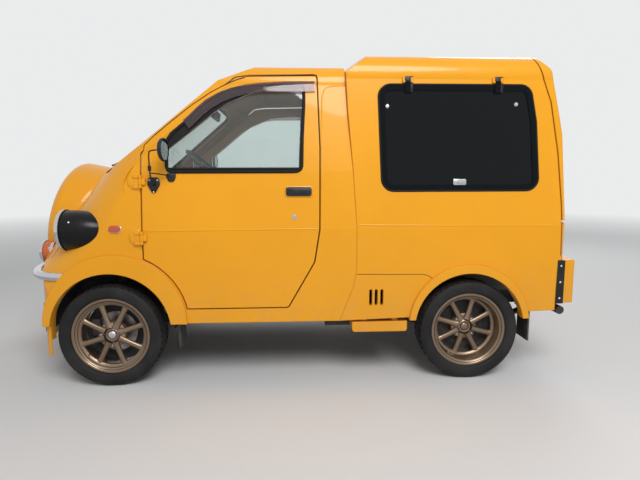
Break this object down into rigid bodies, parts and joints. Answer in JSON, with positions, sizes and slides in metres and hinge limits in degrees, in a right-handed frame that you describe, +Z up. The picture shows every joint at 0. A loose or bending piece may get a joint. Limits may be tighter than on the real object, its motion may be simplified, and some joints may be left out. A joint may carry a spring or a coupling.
{
  "type": "kei truck",
  "caption": "Small enclosed kei truck: round dished nose lid, lamp pods, raking windscreen, raised cargo box with top-hinged side hatches, upper rear hatch and drop gate.",
  "frame": {"origin": "centre of the overall box, on the ground", "axes": "+X forward, +Y to the vehicle's left, +Z up"},
  "size_m": [2.8877, 1.574, 1.7049],
  "materials": {
    "paint": "gloss amber-yellow",
    "frame_paint": "satin black",
    "floor_paint": "satin grey",
    "glass": "clear, slightly smoked",
    "dark_glass": "dark tinted",
    "lamp_glass": "clear",
    "black_plastic": "matt black",
    "dash_plastic": "matt dark grey",
    "plate_white": "satin white",
    "amber": "gloss amber",
    "red": "gloss red",
    "chrome": "bright",
    "steel": "machined",
    "iron": "cast",
    "bronze": "bronze, satin",
    "rubber": "matt",
    "tyre": "matt",
    "fabric": "woven"
  },
  "bodies": {
    "truck": {"cab_shell": "paint", "cab_floor": "floor_paint", "wheel_houses": "floor_paint", "firewall": "floor_paint", "cargo_shell": "paint", "cargo_floor": "floor_paint", "frame_rails": "frame_paint", "windscreen": "glass", "dashboard": "dash_plastic", "seats": "fabric", "headlamp_pods": "black_plastic", "headlamp_rims": "chrome", "headlamp_lenses": "lamp_glass", "amber_lamps": "amber", "front_bumpers": "chrome", "rear_bumper": "paint", "rear_lamps": "red", "corner_strips": "black_plastic", "engine_block": "iron", "propshaft": "steel", "exhaust": "steel", "fuel_tank": "frame_paint", "sill_box": "paint", "front_suspension": "frame_paint", "rear_axle": "frame_paint", "mudflaps": "rubber", "number_plate": "plate_white"},
    "nose_lid": {"nose_lid": "paint"},
    "door_left": {"door_left": "paint", "door_glass_left": "glass", "mirror_left": "black_plastic"},
    "door_right": {"door_right": "paint", "door_glass_right": "glass", "mirror_right": "black_plastic"},
    "side_hatch_left": {"side_frame_left": "black_plastic", "side_glass_left": "dark_glass"},
    "side_hatch_right": {"side_frame_right": "black_plastic", "side_glass_right": "dark_glass"},
    "rear_hatch": {"rear_hatch": "paint", "rear_glass": "dark_glass"},
    "tailgate": {"tailgate": "paint"},
    "knuckle_left": {"knuckle_left": "iron"},
    "knuckle_right": {"knuckle_right": "iron"},
    "wheel_front_left": {"rim_front_left": "bronze", "tyre_front_left": "tyre", "disc_left": "steel"},
    "wheel_front_right": {"rim_front_right": "bronze", "tyre_front_right": "tyre", "disc_right": "steel"},
    "wheel_rear_left": {"rim_rear_left": "bronze", "tyre_rear_left": "tyre"},
    "wheel_rear_right": {"rim_rear_right": "bronze", "tyre_rear_right": "tyre"},
    "steering_wheel": {"steering_wheel": "black_plastic"}
  },
  "joints": [
    {"name": "front_left_steer", "type": "hinge", "parent": "truck", "child": "knuckle_left", "pos_m": [0.96, 0.487, 0.261], "axis": [0, 0, 1], "range_deg": [-30, 30]},
    {"name": "front_right_steer", "type": "hinge", "parent": "truck", "child": "knuckle_right", "pos_m": [0.96, -0.487, 0.261], "axis": [0, 0, 1], "range_deg": [-30, 30]},
    {"name": "steering_wheel_turn", "type": "hinge", "parent": "truck", "child": "steering_wheel", "pos_m": [0.6, -0.3, 1.118], "axis": [-0.6428, 0, 0.766], "range_deg": [-485, 485]},
    {"name": "front_left_roll", "type": "hinge", "parent": "knuckle_left", "child": "wheel_front_left", "pos_m": [0.96, 0.55, 0.261], "axis": [0, 1, 0], "continuous": true},
    {"name": "front_right_roll", "type": "hinge", "parent": "knuckle_right", "child": "wheel_front_right", "pos_m": [0.96, -0.55, 0.261], "axis": [0, 1, 0], "continuous": true},
    {"name": "rear_left_roll", "type": "hinge", "parent": "truck", "child": "wheel_rear_left", "pos_m": [-0.88, 0.55, 0.261], "axis": [0, 1, 0], "continuous": true},
    {"name": "rear_right_roll", "type": "hinge", "parent": "truck", "child": "wheel_rear_right", "pos_m": [-0.88, -0.55, 0.261], "axis": [0, 1, 0], "continuous": true},
    {"name": "door_left_hinge", "type": "hinge", "parent": "truck", "child": "door_left", "pos_m": [0.768, 0.651, 0.765], "axis": [0, 0.0671, -0.9977], "range_deg": [0, 65]},
    {"name": "door_right_hinge", "type": "hinge", "parent": "truck", "child": "door_right", "pos_m": [0.768, -0.651, 0.765], "axis": [0, 0.0671, 0.9977], "range_deg": [0, 65]},
    {"name": "side_hatch_left_hinge", "type": "hinge", "parent": "truck", "child": "side_hatch_left", "pos_m": [-0.8, 0.601, 1.52], "axis": [1, 0, 0], "range_deg": [0, 75]},
    {"name": "side_hatch_right_hinge", "type": "hinge", "parent": "truck", "child": "side_hatch_right", "pos_m": [-0.8, -0.601, 1.52], "axis": [-1, 0, 0], "range_deg": [0, 75]},
    {"name": "rear_hatch_hinge", "type": "hinge", "parent": "truck", "child": "rear_hatch", "pos_m": [-1.184, 0, 1.699], "axis": [0, 1, 0], "range_deg": [0, 85]},
    {"name": "tailgate_hinge", "type": "hinge", "parent": "truck", "child": "tailgate", "pos_m": [-1.41, 0, 0.652], "axis": [0, -1, 0], "range_deg": [0, 90]},
    {"name": "nose_lid_hinge", "type": "hinge", "parent": "truck", "child": "nose_lid", "pos_m": [1.076, 0, 1.114], "axis": [0, -1, 0], "range_deg": [0, 50]}
  ],
  "couplings": [
    {"joint": "front_right_steer", "follows": "front_left_steer", "ratio": 1},
    {"joint": "steering_wheel_turn", "follows": "front_left_steer", "ratio": 16}
  ]
}
